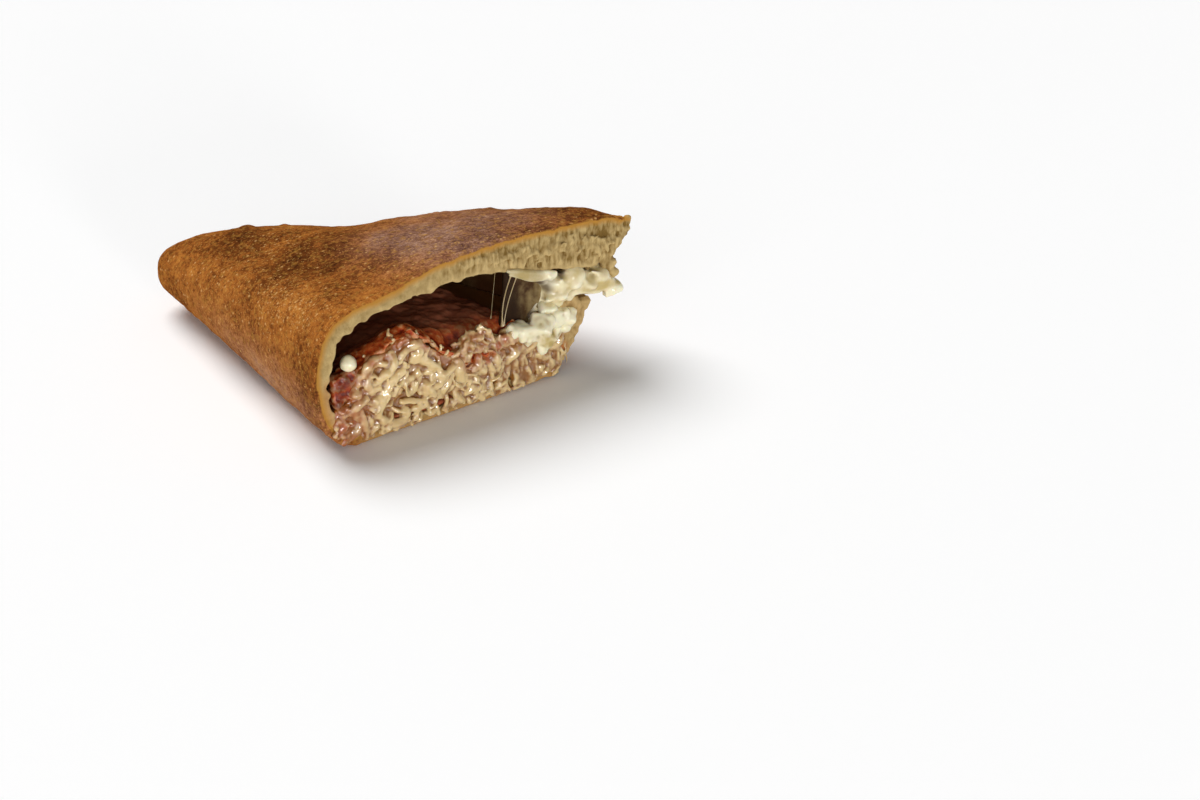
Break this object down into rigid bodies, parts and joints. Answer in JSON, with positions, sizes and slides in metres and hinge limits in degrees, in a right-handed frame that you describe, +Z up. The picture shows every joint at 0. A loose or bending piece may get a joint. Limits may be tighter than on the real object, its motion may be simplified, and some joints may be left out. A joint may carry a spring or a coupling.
{
  "type": "panzerotto half",
  "caption": "Half of a baked folded dough turnover, cut across to show a hollow pocket with grated cheese, tomato sauce and melted cheese running out of the torn seam.",
  "frame": {"origin": "on the table under the middle of the half's bounding box", "axes": "+X out of the cut face, -X towards the tip, -Y towards the folded side, +Y towards the sealed seam, +Z up"},
  "size_m": [0.1536, 0.1414, 0.0631],
  "materials": {
    "crust": "baked wheat dough, golden brown and satin outside, pale open crumb at the cut",
    "cheese": "part-melted grated cheese, moist",
    "sauce": "baked tomato sauce, wet",
    "melted_cheese": "melted stretched cheese, smooth and glossy"
  },
  "bodies": {
    "root": {"crust": "crust", "cheese_filling": "cheese", "tomato_sauce": "sauce", "lower_sauce": "sauce", "melted_cheese": "melted_cheese", "cheese_curd": "melted_cheese", "cheese_string_1": "melted_cheese", "cheese_string_2": "melted_cheese", "cheese_string_3": "melted_cheese"}
  },
  "joints": []
}
